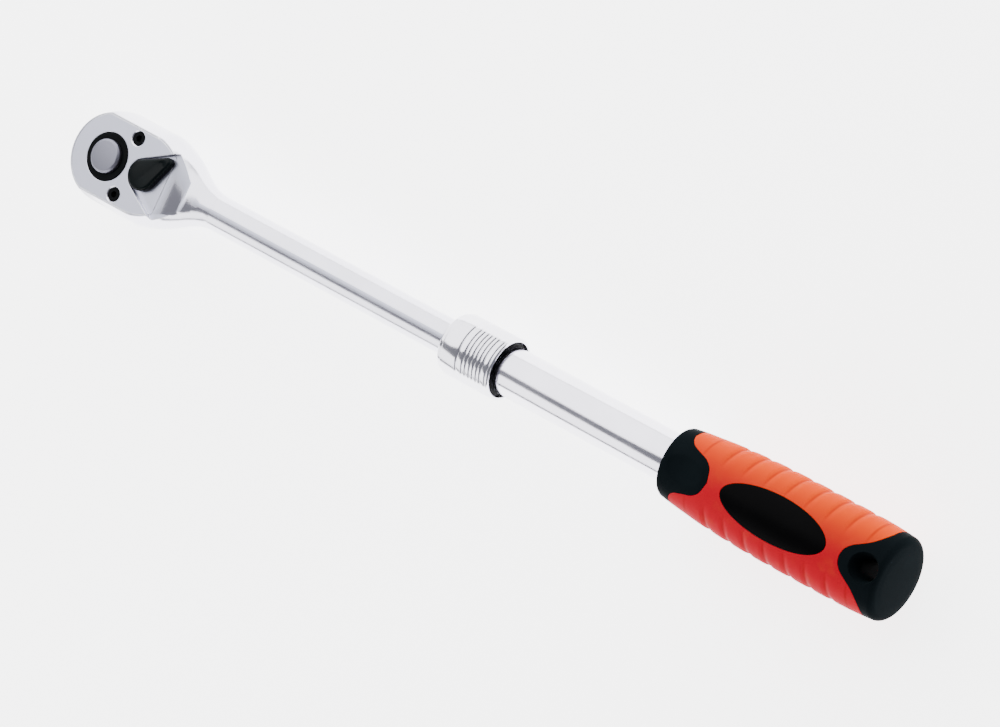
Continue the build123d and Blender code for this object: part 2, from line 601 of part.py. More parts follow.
def grip_parts():
    """Core, coloured shell, black nose, two oval pads and the end cap, cut from one barrel."""
    outer, inside = grip_barrel(), grip_inside()
    seam = GRIP_FRONT + CORE_REAR
    bore = rod(TUBE_R, GRIP_FRONT - 1, seam)
    plug = rod(PLUG_R, seam, GRIP_FRONT + CAP_SEAM[0][0] + 1)
    skin = outer - inside - bore - plug
    nose, cap = seam_region(NOSE_SEAM, -5), seam_region(CAP_SEAM, 130)
    pads = {side: pad_region(side) for side in (-1, 1)}
    shell = (outer - cap - nose) - inside - bore - plug - pads[1] - pads[-1] - hang_hole()
    for ring in ripples():
        shell -= ring
    end_cap = (outer & cap) + plug + rod(TUBE_BORE_R, seam - 8, seam + 1) - hang_hole()
    return {
        "grip_core": inside - bore,
        "grip_shell": shell,
        "grip_nose": (skin & nose) - thumb_dimple(1) - thumb_dimple(-1),
        "palm_pad_top": skin & pads[1],
        "palm_pad_bottom": skin & pads[-1],
        "end_cap": end_cap,
    }


# ---------------------------------------------------------------- every node

def all_parts():
    """Every piece by node name, still about the shank axis."""
    parts = {
        "head_and_shank": head_and_shank(),
        "cover_plate": cover_plate(),
        "cover_screws": cover_screws(),
        "drive_gear": drive_gear(),
        "release_button": release_button(),
        "release_spring": release_spring(),
        "retaining_ball": retaining_ball(),
        "reversing_lever": reversing_lever(),
        "lever_plunger": lever_plunger(),
        "lever_spring": lever_spring(),
        "lever_clip": lever_clip(),
        "pawl": pawl(),
        "shank_stop": shank_stop(),
        "stop_screw": stop_screw(),
        "lock_body": lock_body(),
        "guide_pin": guide_pin(),
        "guide_o_ring": guide_o_ring(),
        "lock_collar": lock_collar(),
        "collar_nose": collar_nose(),
        "collar_spring": collar_spring(),
        "retaining_ring": retaining_ring(),
        "outer_tube": outer_tube(),
    }
    for number, angle in enumerate(ball_angles(), start=1):
        parts[f"lock_ball_{number}"] = lock_ball(angle)
    parts.update(grip_parts())
    return parts


os.makedirs("parts", exist_ok=True)
for name, shape in all_parts().items():
    export_step(Pos(0, 0, SEAT_DROP) * shape, f"parts/{name}.step")
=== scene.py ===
import logging
import math
from dataclasses import dataclass, field
from enum import Enum
from typing import Callable, Iterable, Optional, Sequence, Union

import bmesh
import bpy
from mathutils import Matrix, Vector


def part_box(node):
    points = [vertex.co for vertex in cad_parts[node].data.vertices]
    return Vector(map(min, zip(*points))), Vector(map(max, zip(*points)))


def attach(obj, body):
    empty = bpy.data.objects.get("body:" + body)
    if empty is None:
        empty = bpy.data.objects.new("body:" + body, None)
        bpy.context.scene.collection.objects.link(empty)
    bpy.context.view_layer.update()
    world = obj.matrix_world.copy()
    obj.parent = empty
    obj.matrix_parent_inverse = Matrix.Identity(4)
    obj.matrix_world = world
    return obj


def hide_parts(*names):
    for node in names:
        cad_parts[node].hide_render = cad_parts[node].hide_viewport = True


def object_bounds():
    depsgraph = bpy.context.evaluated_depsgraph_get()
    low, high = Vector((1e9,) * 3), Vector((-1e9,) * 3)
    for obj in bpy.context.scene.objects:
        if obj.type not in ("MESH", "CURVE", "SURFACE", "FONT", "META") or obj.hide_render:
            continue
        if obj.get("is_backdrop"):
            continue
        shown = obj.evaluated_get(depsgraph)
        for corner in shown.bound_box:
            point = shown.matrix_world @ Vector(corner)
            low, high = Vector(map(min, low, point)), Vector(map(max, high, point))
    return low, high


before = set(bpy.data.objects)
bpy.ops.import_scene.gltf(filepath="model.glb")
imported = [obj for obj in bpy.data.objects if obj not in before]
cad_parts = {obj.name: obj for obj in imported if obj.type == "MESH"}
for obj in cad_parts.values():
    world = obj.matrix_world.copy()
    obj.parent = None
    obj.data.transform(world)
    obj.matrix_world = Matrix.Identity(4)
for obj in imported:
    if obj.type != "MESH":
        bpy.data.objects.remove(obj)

LOG = logging.getLogger("ratchet_handle")
MM = 0.001
SHANK_HEIGHT = 11.5             # height of the shank's axis above the socket seat, in millimetres
FULL_TURN = 2 * math.pi
Number = Union[int, float]
Point = tuple[float, float]


# ---------------------------------------------------------------- shader wiring

class Wire:
    """One output socket of a material, with arithmetic that adds Math nodes."""

    def __init__(self, kit: "ShaderKit", socket: bpy.types.NodeSocket) -> None:
        """Keep the socket and the material it belongs to."""
        self.kit = kit
        self.socket = socket

    def _math(self, operation: str, first: "Value", second: "Value" = 0.0) -> "Wire":
        """Add one Math node.

        Args:
            operation: Blender's name for the sum.
            first: left-hand value.
            second: right-hand value.
        Returns:
            The node's result.
        """
        node = self.kit.node("ShaderNodeMath", {"operation": operation}, {0: first, 1: second})
        return self.kit.out(node, 0)

    def __add__(self, other: "Value") -> "Wire":
        """Sum."""
        return self._math("ADD", self, other)

    def __radd__(self, other: "Value") -> "Wire":
        """Sum, reflected."""
        return self._math("ADD", other, self)

    def __sub__(self, other: "Value") -> "Wire":
        """Difference."""
        return self._math("SUBTRACT", self, other)

    def __rsub__(self, other: "Value") -> "Wire":
        """Difference, reflected."""
        return self._math("SUBTRACT", other, self)

    def __mul__(self, other: "Value") -> "Wire":
        """Product."""
        return self._math("MULTIPLY", self, other)

    def __rmul__(self, other: "Value") -> "Wire":
        """Product, reflected."""
        return self._math("MULTIPLY", other, self)

    def __truediv__(self, other: "Value") -> "Wire":
        """Quotient."""
        return self._math("DIVIDE", self, other)

    def __abs__(self) -> "Wire":
        """Size without the sign."""
        return self._math("ABSOLUTE", self, 0.0)

    def nearest(self) -> "Wire":
        """Nearest whole number."""
        return self._math("ROUND", self, 0.0)

    def band(self, low: float, high: float) -> "Wire":
        """Rise smoothly from 0 at low to 1 at high.

        Args:
            low: value where the rise starts.
            high: value where it ends; below low for a fall.
        Returns:
            The eased value between 0 and 1.
        """
        node = self.kit.node("ShaderNodeMapRange", {"interpolation_type": "SMOOTHSTEP"},
                             {"Value": self, "From Min": low, "From Max": high})
        return self.kit.out(node, "Result")


Value = Union[Wire, Number, Sequence[float]]


class ShaderKit:
    """A material being wired up around one Principled shader."""

    def __init__(self, name: str) -> None:
        """Start an empty node material.

        Args:
            name: the material's name.
        """
        self.material = bpy.data.materials.new(name)
        self.material.use_nodes = True
        self.tree = self.material.node_tree
        self.tree.nodes.clear()

    def node(self, kind: str, settings: Optional[dict] = None,
             sockets: Optional[dict] = None) -> bpy.types.Node:
        """Add any node: its settings first, then its sockets.

        Args:
            kind: Blender's node type.
            settings: attribute values.
            sockets: values or wires by socket name or number.
        Returns:
            The new node.
        """
        made = self.tree.nodes.new(kind)
        for key, value in (settings or {}).items():
            setattr(made, key, value)
        for key, value in (sockets or {}).items():
            target = made.inputs[key]
            if isinstance(value, Wire):
                self.tree.links.new(value.socket, target)
            elif isinstance(value, (int, float)):
                target.default_value = value
            else:
                room = len(target.default_value)
                target.default_value = (*value, 1.0)[:room]
        return made

    def out(self, node: bpy.types.Node, name: Union[str, int] = 0) -> Wire:
        """Wrap one output of a node."""
        return Wire(self, node.outputs[name])

    def place(self, stretch: Sequence[float] = (1, 1, 1), centre: Sequence[float] = (0, 0, 0)) -> Wire:
        """Object coordinates, moved and stretched.

        Args:
            stretch: factor along each axis.
            centre: point that becomes the origin, in metres.
        Returns:
            The vector.
        """
        source = self.out(self.node("ShaderNodeTexCoord"), "Object")
        shift = [-c * s for c, s in zip(centre, stretch)]
        return self.out(self.node("ShaderNodeMapping", None,
                                  {"Vector": source, "Scale": stretch, "Location": shift}))

    def noise(self, scale: float, detail: float = 3.0, stretch: Sequence[float] = (1, 1, 1)) -> Wire:
        """Cloudy pattern between 0 and 1.

        Args:
            scale: features per metre.
            detail: octaves of finer pattern.
            stretch: factor along each axis before the pattern.
        Returns:
            The pattern.
        """
        node = self.node("ShaderNodeTexNoise", {"noise_dimensions": "3D"},
                         {"Vector": self.place(stretch), "Scale": scale, "Detail": detail})
        return self.out(node, "Fac" if "Fac" in node.outputs else 0)

    def specks(self, scale: float) -> Wire:
        """Distance to the nearest of many scattered cells.

        Args:
            scale: cells per metre.
        Returns:
            The distance, 0 at a cell's middle.
        """
        node = self.node("ShaderNodeTexVoronoi", {"feature": "F1"},
                         {"Vector": self.place(), "Scale": scale})
        return self.out(node, "Distance")

    def blend(self, mask: Value, first: Value, second: Value) -> Wire:
        """Colour that goes from first to second as the mask goes from 0 to 1."""
        node = self.node("ShaderNodeMix", {"data_type": "RGBA"}, {0: mask, 6: first, 7: second})
        return self.out(node, 2)

    def rounded(self, radius: float) -> Wire:
        """Normal that eases sharp edges.

        Args:
            radius: edge radius in metres.
        Returns:
            The normal.
        """
        return self.out(self.node("ShaderNodeBevel", {"samples": 4}, {"Radius": radius}))

    def edge_mask(self, radius: float) -> Wire:
        """Mask of the strip along sharp edges, 1 where the surface turns.

        Args:
            radius: half-width of the strip in metres.
        Returns:
            The mask.
        """
        flat = self.out(self.node("ShaderNodeNewGeometry"), "Normal")
        dot = self.node("ShaderNodeVectorMath", {"operation": "DOT_PRODUCT"},
                        {0: self.rounded(radius), 1: flat})
        return (1.0 - self.out(dot, "Value")).band(0.01, 0.16)

    def bump(self, height: Wire, distance: float, strength: float = 1.0,
             normal: Optional[Wire] = None) -> Wire:
        """Normal with small relief.

        Args:
            height: relief pattern.
            distance: height of the pattern in metres.
            strength: share of it used.
            normal: normal underneath.
        Returns:
            The new normal.
        """
        sockets = {"Height": height, "Distance": distance, "Strength": strength}
        if normal is not None:
            sockets["Normal"] = normal
        return self.out(self.node("ShaderNodeBump", None, sockets))

    def close(self, sockets: dict) -> bpy.types.Material:
        """Finish with a Principled shader.

        Args:
            sockets: its values or wires by name.
        Returns:
            The material.
        """
        shader = self.node("ShaderNodeBsdfPrincipled", None, sockets)
        self.node("ShaderNodeOutputMaterial", None, {"Surface": self.out(shader)})
        return self.material


# ---------------------------------------------------------------- finishes

class Grain(Enum):
    """Which way a metal surface was worked, as the stretch of its fine pattern."""

    BLASTED = (1.0, 1.0, 1.0)
    DRAWN = (0.04, 1.0, 1.0)
    TURNED = (1.0, 0.02, 0.02)


@dataclass(frozen=True)
class SatinMetal:
    """Plated or bare metal with fine working marks, faint smudges, brighter edges that are partly wear
    and partly painted highlight, and painted shade on faces that point straight up.
    """

    name: str
    colour: tuple[float, float, float]
    roughness: float = 0.26
    grain: Grain = Grain.BLASTED
    grain_scale: float = 6000.0
    relief: float = 0.000004
    edge: float = 0.0003
    wear: float = 0.6
    painted_top_shade: Optional[tuple[float, float, float]] = None

    def build(self) -> bpy.types.Material:
        """Wire the material."""
        kit = ShaderKit(self.name)
        fine = kit.noise(self.grain_scale, 2.0, self.grain.value)
        cloud = kit.noise(55.0, 3.0)
        worn = kit.edge_mask(self.edge)
        dull = tuple(c * 0.93 for c in self.colour)
        edge_wear_and_highlight = tuple(min(1.0, c * 1.12 + 0.12) for c in self.colour)
        base = kit.blend(cloud.band(0.3, 0.75), dull, self.colour)
        rough = self.roughness + (cloud - 0.5) * 0.07 + (fine - 0.5) * 0.08
        # Painted shade: faces that point straight up get a darker colour, and more roughness.
        if self.painted_top_shade is not None:
            facing = kit.node("ShaderNodeSeparateXYZ", None,
                              {0: kit.out(kit.node("ShaderNodeTexCoord"), "Normal")})
            flat = kit.out(facing, "Z").band(0.985, 0.998)
            base = kit.blend(flat, base, self.painted_top_shade)
            rough = rough + flat * 0.20
        # Brighter edges: partly wear and partly a painted highlight along the rims; they also get
        # smoother.
        base = kit.blend(worn * self.wear, base, edge_wear_and_highlight)
        rough = rough - worn * 0.08
        normal = kit.bump(fine, self.relief, 0.6, kit.rounded(self.edge))
        return kit.close({"Base Color": base, "Metallic": 1.0, "Roughness": rough, "Normal": normal})


@dataclass(frozen=True)
class DarkMetal:
    """Black-oxide or painted steel: dark, slightly oily, with rubbed edges."""

    name: str
    colour: tuple[float, float, float] = (0.0018, 0.0022, 0.0026)
    roughness: float = 0.36
    specular: float = 0.03
    edge: float = 0.0003
    wear: float = 0.25

    def build(self) -> bpy.types.Material:
        """Wire the material."""
        kit = ShaderKit(self.name)
        cloud = kit.noise(90.0, 4.0)
        pores = kit.noise(4200.0, 2.0)
        worn = kit.edge_mask(self.edge) * kit.noise(700.0, 3.0).band(0.4, 0.62)
        oily = tuple(c * 1.9 for c in self.colour)
        rubbed = tuple(c + 0.03 for c in self.colour)
        base = kit.blend(cloud.band(0.35, 0.8), self.colour, oily)
        base = kit.blend(worn * self.wear, base, rubbed)
        rough = self.roughness + (cloud - 0.5) * 0.12 + (pores - 0.5) * 0.05
        normal = kit.bump(pores, 0.000006, 0.5, kit.rounded(self.edge))
        return kit.close({"Base Color": base, "Specular IOR Level": self.specular,
                          "Roughness": rough, "Normal": normal})


@dataclass(frozen=True)
class MouldedPlastic:
    """Moulded rubber or plastic with a spark-eroded texture and faint handling marks."""

    name: str
    colour: tuple[float, float, float]
    roughness: float = 0.42
    texture_scale: float = 3200.0
    relief: float = 0.00001
    specular: float = 0.5
    edge: float = 0.0004

    def build(self) -> bpy.types.Material:
        """Wire the material."""
        kit = ShaderKit(self.name)
        cloud = kit.noise(70.0, 4.0)
        skin = kit.noise(self.texture_scale, 2.5)
        pits = kit.specks(self.texture_scale * 0.6)
        dust = tuple(c * 1.3 + 0.0004 for c in self.colour)
        base = kit.blend(cloud.band(0.4, 0.85) * 0.6, self.colour, dust)
        rough = self.roughness + (cloud - 0.5) * 0.10 + (skin - 0.5) * 0.10
        normal = kit.bump(skin + pits * 0.5, self.relief, 0.5, kit.rounded(self.edge))
        return kit.close({"Base Color": base, "Roughness": rough, "Normal": normal,
                          "Specular IOR Level": self.specular})


@dataclass(frozen=True)
class PaintedLightGrip:
    """Satin elastomer whose colour runs from orange on one flank to red on the other: painted light and
    painted shade on one orange-red plastic.
    """

    name: str
    lit_orange: tuple[float, float, float] = (0.60, 0.048, 0.0)
    shaded_red: tuple[float, float, float] = (0.40, 0.004, 0.014)
    dust: tuple[float, float, float] = (0.60, 0.11, 0.01)
    shade: tuple[float, float, float] = (0.22, 0.002, 0.001)
    roughness: float = 0.40
    specular: float = 0.006
    reach: float = 0.0199           # half the grip's width, in metres as are the three below
    crease_start: float = 0.3480
    crease_pitch: float = 0.01085
    crease_width: float = 0.0011

    def build(self) -> bpy.types.Material:
        """Wire the material."""
        kit = ShaderKit(self.name)
        across = kit.place(centre=(0, 0, SHANK_HEIGHT * MM))
        split = kit.node("ShaderNodeSeparateXYZ", None, {0: across})
        side = kit.out(split, "Y") / self.reach
        turns = (kit.out(split, "X") - self.crease_start) / self.crease_pitch
        near = 1 - abs(turns - turns.nearest()) * (self.crease_pitch / self.crease_width)
        creased = near.band(0.0, 1.0) * abs(side).band(0.35, 0.75)
        cloud = kit.noise(60.0, 3.0, (0.6, 1, 1))
        skin = kit.noise(3000.0, 2.5)
        pits = kit.specks(1900.0)
        # Painted light: the +Y flank is painted lit orange and the -Y flank shaded red, with a little
        # random cloud in the blend.
        painted_lit_side = (side + (cloud - 0.5) * 0.18).band(-0.15, 1.0)
        base = kit.blend(painted_lit_side, self.shaded_red, self.lit_orange)
        dusty = kit.noise(160.0, 4.0).band(0.5, 0.8) * 0.10
        base = kit.blend(dusty, base, self.dust)
        base = kit.blend(creased * 0.5, base, self.shade)
        rough = self.roughness + (cloud - 0.5) * 0.10 + (skin - 0.5) * 0.10
        normal = kit.bump(skin + pits * 0.5, 0.000012, 0.5, kit.rounded(0.0003))
        return kit.close({"Base Color": base, "Roughness": rough, "Normal": normal,
                          "Specular IOR Level": self.specular})


@dataclass(frozen=True)
class PaleFloor:
    """Matt near-white table top with a barely visible mottle."""

    name: str = "pale_floor"
    glow: float = 4.0

    def build(self) -> bpy.types.Material:
        """Wire the material."""
        kit = ShaderKit(self.name)
        cloud = kit.noise(6.0, 3.0)
        base = kit.blend(cloud, (0.93, 0.93, 0.935), (0.95, 0.95, 0.955))
        return kit.close({"Base Color": base, "Roughness": 0.9 + (cloud - 0.5) * 0.05,
                          "Emission Color": (1.0, 1.0, 1.0), "Emission Strength": self.glow})


CHROME = (0.80, 0.79, 0.88)
# painted shade colour for faces that point straight up
PAINTED_TOP_SHADE_COLOUR = (0.46, 0.47, 0.56)
STEEL = (0.62, 0.62, 0.64)


def build_finishes() -> dict[str, bpy.types.Material]:
    """Build every finish once.

    Returns:
        The materials by the name used in this file.
    """
    recipes = [
        SatinMetal("forged_chrome", CHROME, 0.17, edge=0.0005, wear=1.0, painted_top_shade=PAINTED_TOP_SHADE_COLOUR),
        SatinMetal("face_chrome", CHROME, 0.17, edge=0.0005, wear=1.0, painted_top_shade=PAINTED_TOP_SHADE_COLOUR),
        SatinMetal("tube_chrome", (0.88, 0.86, 0.95), 0.15, Grain.DRAWN, 5000.0),
        SatinMetal("turned_chrome", (0.84, 0.83, 0.90), 0.14, Grain.TURNED, 9000.0),
        SatinMetal("button_steel", (0.20, 0.20, 0.24), 0.42, Grain.BLASTED, 7000.0, wear=1.0),
        SatinMetal("satin_steel", STEEL, 0.32, Grain.TURNED, 8000.0),
        SatinMetal("bearing_steel", (0.72, 0.72, 0.74), 0.12, Grain.BLASTED, 9000.0, 0.000001),
        SatinMetal("spring_steel", (0.36, 0.36, 0.39), 0.34, Grain.DRAWN, 6000.0),
        DarkMetal("black_oxide"),
        DarkMetal("black_lever", (0.0022, 0.0034, 0.0038), 0.22, 0.06, 0.0004, 0.15),
        MouldedPlastic("nylon", (0.74, 0.72, 0.64), 0.45, 2500.0),
        MouldedPlastic("core_plastic", (0.03, 0.03, 0.034), 0.50, 2000.0),
        MouldedPlastic("black_rubber", (0.0034, 0.0052, 0.0062), 0.36, 3600.0, 0.000010, 0.002),
        MouldedPlastic("black_pad", (0.0012, 0.0011, 0.0013), 0.34, 5200.0, 0.000005, 0.015),
        PaintedLightGrip("orange_grip"),
        PaleFloor(),
    ]
    return {recipe.name: recipe.build() for recipe in recipes}


# ---------------------------------------------------------------- mesh making

class Cut(Enum):
    """What a cutter does to a piece."""

    AWAY = "DIFFERENCE"
    KEEP = "INTERSECT"
    JOIN = "UNION"


class Workshop:
    """Mesh operations that every sub-assembly shares; sizes come in millimetres."""

    @staticmethod
    def shade(bm: bmesh.types.BMesh, crease: float) -> None:
        """Shade a mesh smooth, with its creases sharp.

        Args:
            bm: the mesh.
            crease: edges that turn more than this many degrees stay sharp.
        """
        for face in bm.faces:
            face.smooth = True
        for edge in bm.edges:
            edge.smooth = not edge.is_manifold or edge.calc_face_angle(0.0) < math.radians(crease)

    @staticmethod
    def close(bm: bmesh.types.BMesh, name: str, crease: float = 32.0) -> bpy.types.Object:
        """Merge, turn the faces outwards, sharpen the creases and make the object.

        Args:
            bm: the mesh, in metres; it is freed.
            name: the piece's name.
            crease: edges that turn more than this many degrees stay sharp.
        Returns:
            The linked object.
        """
        bmesh.ops.remove_doubles(bm, verts=bm.verts, dist=0.004 * MM)
        bmesh.ops.recalc_face_normals(bm, faces=bm.faces)
        Workshop.shade(bm, crease)
        mesh = bpy.data.meshes.new(name)
        bm.to_mesh(mesh)
        bm.free()
        made = bpy.data.objects.new(name, mesh)
        bpy.context.scene.collection.objects.link(made)
        return made

    @staticmethod
    def copy_of(node: str) -> bmesh.types.BMesh:
        """Merged copy of a CAD node's mesh.

        Args:
            node: the CAD node's name.
        Returns:
            A mesh with shared corners.
        """
        bm = bmesh.new()
        bm.from_mesh(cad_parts[node].data)
        bmesh.ops.remove_doubles(bm, verts=bm.verts, dist=0.002 * MM)
        bmesh.ops.dissolve_degenerate(bm, edges=bm.edges, dist=0.001 * MM)
        return bm

    @staticmethod
    def spun(profile: Sequence[Point], steps: int = 128, ease: float = 0.0,
             upright: bool = False) -> bmesh.types.BMesh:
        """Solid turned from a closed profile.

        Args:
            profile: (station, radius) corners about the shank's axis, or (height, radius) if upright.
            steps: faces round the full turn.
            ease: radius worked onto every corner that is off the axis.
            upright: turn about the drive's vertical axis instead.
        Returns:
            The mesh in metres.
        """
        bm = bmesh.new()
        corners = [bm.verts.new((a * MM, r * MM, 0)) for a, r in profile]
        face = bm.faces.new(corners)
        if ease > 0:
            off_axis = [v for v in corners if v.co.y > 1e-6]
            bmesh.ops.bevel(bm, geom=off_axis, affect="VERTICES", offset=ease * MM, segments=3,
                            profile=0.5, offset_type="OFFSET", clamp_overlap=True, material=-1)
            face = bm.faces[:][0]
        bmesh.ops.delete(bm, geom=[face], context="FACES_ONLY")
        bmesh.ops.spin(bm, geom=bm.verts[:] + bm.edges[:], cent=(0, 0, 0), axis=(1, 0, 0),
                       angle=FULL_TURN, steps=steps, use_merge=True, use_duplicate=False)
        bmesh.ops.remove_doubles(bm, verts=bm.verts, dist=0.002 * MM)
        if upright:
            bmesh.ops.rotate(bm, verts=bm.verts, cent=(0, 0, 0),
                             matrix=Matrix.Rotation(-math.pi / 2, 3, "Y"))
        else:
            bmesh.ops.translate(bm, verts=bm.verts, vec=(0, 0, SHANK_HEIGHT * MM))
        return bm

    @staticmethod
    def column(outline: Sequence[Point], low: float, high: float) -> bmesh.types.BMesh:
        """Upright prism over a plan outline.

        Args:
            outline: (x, y) corners in order.
            low: bottom height above the shank's axis.
            high: top height above the shank's axis.
        Returns:
            The mesh in metres.
        """
        bm = bmesh.new()
        floor = (SHANK_HEIGHT + low) * MM
        face = bm.faces.new([bm.verts.new((x * MM, y * MM, floor)) for x, y in outline])
        grown = bmesh.ops.extrude_face_region(bm, geom=[face])
        raised = [g for g in grown["geom"] if isinstance(g, bmesh.types.BMVert)]
        bmesh.ops.translate(bm, verts=raised, vec=(0, 0, (high - low) * MM))
        return bm

    @staticmethod
    def cut(piece: bpy.types.Object, cutters: Iterable[tuple[Cut, bpy.types.Object]]) -> None:
        """Cut a piece with others and throw the cutters away.

        Args:
            piece: the piece; its mesh is replaced.
            cutters: what each cutter does, and the cutter.
        """
        used = []
        for how, cutter in cutters:
            step = piece.modifiers.new(cutter.name, "BOOLEAN")
            step.operation, step.object, step.solver = how.value, cutter, "EXACT"
            used.append(cutter)
        shaped = piece.evaluated_get(bpy.context.evaluated_depsgraph_get())
        mesh = bpy.data.meshes.new_from_object(shaped)
        piece.modifiers.clear()
        piece.data = mesh
        for cutter in used:
            bpy.data.objects.remove(cutter)

    @staticmethod
    def sharpen(piece: bpy.types.Object, crease: float = 32.0) -> None:
        """Clean a cut piece and shade it smooth, with its creases sharp.

        Args:
            piece: the piece.
            crease: edges that turn more than this many degrees stay sharp.
        """
        bm = bmesh.new()
        bm.from_mesh(piece.data)
        bmesh.ops.remove_doubles(bm, verts=bm.verts, dist=0.004 * MM)
        bmesh.ops.dissolve_degenerate(bm, edges=bm.edges, dist=0.002 * MM)
        Workshop.shade(bm, crease)
        bm.to_mesh(piece.data)
        bm.free()


def dress(piece: bpy.types.Object, material: bpy.types.Material) -> None:
    """Give a piece one material in every slot.

    Args:
        piece: the piece.
        material: its material.
    """
    if not piece.data.materials:
        piece.data.materials.append(material)
    for slot in piece.material_slots:
        slot.material = material


def fit(piece: bpy.types.Object, body: str, slot: str, material: bpy.types.Material,
        *nodes: str) -> None:
    """Dress a piece, hang it on its body and let it stand for CAD nodes.

    Args:
        piece: the finished piece.
        body: the CAD body it rides on.
        slot: the record's material slot; not used.
        material: its material.
        nodes: the CAD nodes it stands for.
    """
    dress(piece, material)
    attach(piece, body)
    if nodes:
        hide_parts(*nodes)
    LOG.info("%s: %d faces on %s", piece.name, len(piece.data.polygons), body)


def smooth_step(low: float, high: float, value: float) -> float:
    """Ease from 0 at low to 1 at high."""
    t = min(1.0, max(0.0, (value - low) / (high - low)))
    return t * t * (3 - 2 * t)


def flowing(points: Sequence[Point], parts: int = 8) -> list[Point]:
    """Smooth line through points.

    Args:
        points: the points it passes.
        parts: pieces between two of them.
    Returns:
        The finer line, ends included.
    """
    padded = [points[0], *points, points[-1]]
    line: list[Point] = []
    for p0, p1, p2, p3 in zip(padded, padded[1:], padded[2:], padded[3:]):
        for number in range(parts):
            t = number / parts
            line.append(tuple(
                0.5 * (2 * b + (c - a) * t + (2 * a - 5 * b + 4 * c - d) * t * t
                       + (3 * b - a - 3 * c + d) * t**3)
                for a, b, c, d in zip(p0, p1, p2, p3)))
    line.append(tuple(points[-1]))
    return line


# ---------------------------------------------------------------- sub-assemblies

@dataclass
class Head:
    """Forged head with its cover plate and screws."""

    finishes: dict[str, bpy.types.Material]

    def build(self) -> None:
        """Make the forging, the plate and the screws."""
        forging = Workshop.close(Workshop.copy_of("head_and_shank"), "head_forging")
        fit(forging, "head", "satin_chrome", self.finishes["forged_chrome"], "head_and_shank")
        plate = Workshop.close(Workshop.copy_of("cover_plate"), "face_plate")
        fit(plate, "head", "satin_chrome", self.finishes["face_chrome"], "cover_plate")
        screws = Workshop.close(Workshop.copy_of("cover_screws"), "recessed_screws")
        fit(screws, "head", "black_oxide", self.finishes["black_oxide"], "cover_screws")


@dataclass
class Drive:
    """Ratchet gear with its square, and the release button in its hub."""

    finishes: dict[str, bpy.types.Material]
    button_radius: float = 7.6
    button_top: float = 13.8
    button_skirt: float = 10.4
    bevel: float = 0.9
    rod_radius: float = 2.75
    rod_chamfer: tuple[float, float] = (0.6, 0.3)

    def build(self) -> None:
        """Make the gear and the button."""
        gear = Workshop.close(Workshop.copy_of("drive_gear"), "gear_and_square")
        fit(gear, "drive", "black_oxide", self.finishes["black_oxide"], "drive_gear")
        low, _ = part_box("release_button")
        foot = low.z / MM
        along, across = self.rod_chamfer
        skirt, top = self.button_skirt + SHANK_HEIGHT, self.button_top + SHANK_HEIGHT
        button = Workshop.close(Workshop.spun([
            (foot, 0), (foot, self.rod_radius - across), (foot + along, self.rod_radius),
            (skirt, self.rod_radius), (skirt, self.button_radius),
            (top - self.bevel, self.button_radius), (top, self.button_radius - self.bevel), (top, 0)],
            128, 0.12, upright=True), "push_button")
        fit(button, "button", "satin_steel", self.finishes["button_steel"], "release_button")


@dataclass
class Lever:
    """Teardrop reversing lever with a thumb dish near its tip."""

    finishes: dict[str, bpy.types.Material]
    centre: float = 20.8
    angle: float = 46.0
    hub: float = 7.0
    tip: float = 2.1
    reach: float = 14.1
    low: float = 8.5
    high: float = 12.2
    shoulder: float = 1.3
    shaft: float = 3.2
    shaft_neck: float = 2.0
    dish_radius: float = 8.0
    dish_inset: float = 2.6
    dish_rise: float = 7.75

    def blade(self) -> bmesh.types.BMesh:
        """Hull of the hub and tip circles, rounded over its upper edge.

        Returns:
            The mesh, pointing along +X from its own hub.
        """
        bm = bmesh.new()
        for height in (self.low, self.high):
            for x, radius in ((0, self.hub), (self.reach, self.tip)):
                bmesh.ops.create_circle(bm, cap_ends=False, radius=radius * MM, segments=72,
                                        matrix=Matrix.Translation((x * MM, 0, height * MM)))
        hull = bmesh.ops.convex_hull(bm, input=bm.verts)
        loose = {g for key in ("geom_interior", "geom_unused") for g in hull[key]
                 if isinstance(g, bmesh.types.BMVert)}
        bmesh.ops.delete(bm, geom=list(loose), context="VERTS")
        bmesh.ops.dissolve_limit(bm, angle_limit=0.01, verts=bm.verts, edges=bm.edges)
        bm.normal_update()
        top = [f for f in bm.faces if f.normal.z > 0.9]
        rim = list({e for f in top for e in f.edges})
        bmesh.ops.bevel(bm, geom=rim, affect="EDGES", offset=self.shoulder * MM, segments=6,
                        profile=0.5, clamp_overlap=True, material=-1)
        return bm

    def build(self) -> None:
        """Make the lever with its shaft."""
        bm = self.blade()
        turn = Matrix.Translation((self.centre * MM, 0, SHANK_HEIGHT * MM)) @ Matrix.Rotation(
            math.radians(self.angle), 4, "Z")
        bmesh.ops.transform(bm, matrix=turn, verts=bm.verts)
        lever = Workshop.close(bm, "flip_lever", 24)
        dish = bmesh.new()
        place = turn @ Matrix.Translation(
            ((self.reach - self.dish_inset) * MM, 0, (self.high + self.dish_rise) * MM))
        bmesh.ops.create_uvsphere(dish, u_segments=64, v_segments=48,
                                  radius=self.dish_radius * MM, matrix=place)
        Workshop.cut(lever, [(Cut.AWAY, Workshop.close(dish, "thumb_dish"))])
        low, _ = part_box("reversing_lever")
        foot, head = low.z / MM, self.low + SHANK_HEIGHT + 0.4
        shoulder = foot + self.shaft_neck
        shaft = Workshop.spun([(foot, 0), (foot, self.shaft_neck), (shoulder, self.shaft_neck),
                               (shoulder, self.shaft), (head, self.shaft), (head, 0)],
                              64, 0.1, upright=True)
        bmesh.ops.translate(shaft, verts=shaft.verts, vec=(self.centre * MM, 0, 0))
        Workshop.cut(lever, [(Cut.JOIN, Workshop.close(shaft, "lever_shaft"))])
        Workshop.sharpen(lever, 24)
        fit(lever, "lever", "black_lever", self.finishes["black_lever"], "reversing_lever")


